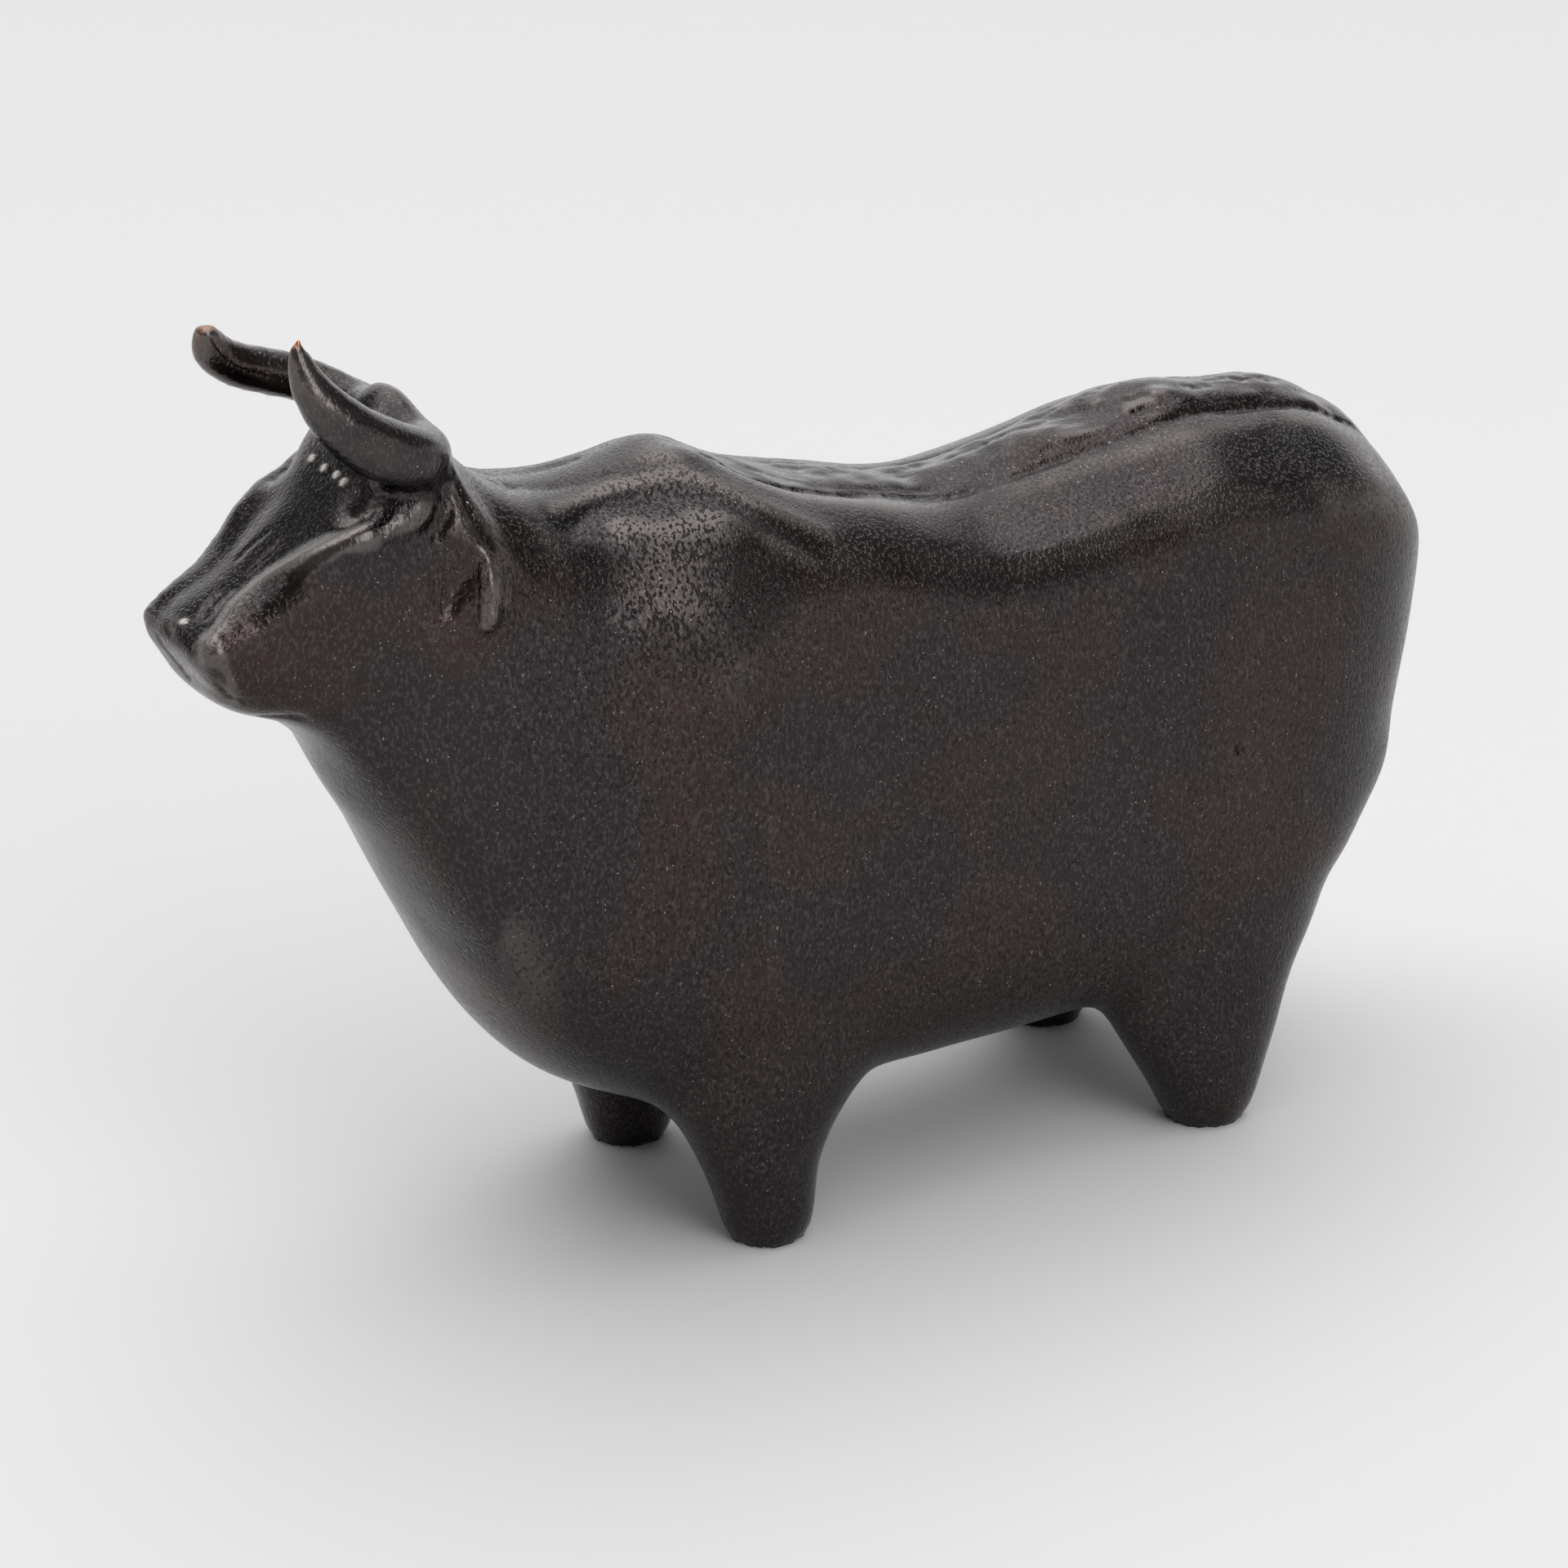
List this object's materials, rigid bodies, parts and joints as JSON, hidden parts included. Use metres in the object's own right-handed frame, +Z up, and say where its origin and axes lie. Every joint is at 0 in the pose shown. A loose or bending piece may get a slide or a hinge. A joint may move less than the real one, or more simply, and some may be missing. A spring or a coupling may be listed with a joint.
{
  "type": "bull sculpture",
  "caption": "Cast figure of a standing bull with a deep flat-sided body, stub legs, a wedge-shaped head, short ears and forward-swept horns.",
  "frame": {"origin": "bottom centre of the bounding box, on the floor the four soles stand on", "axes": "+Z up, the bull faces -Y, +X is its own left side"},
  "size_m": [0.084, 0.3046, 0.2123],
  "materials": {
    "bronze": "dark brown-black patina over cast bronze, satin, worn to bare metal at the horn tips"
  },
  "bodies": {
    "root": {"bull": "bronze"}
  },
  "joints": []
}
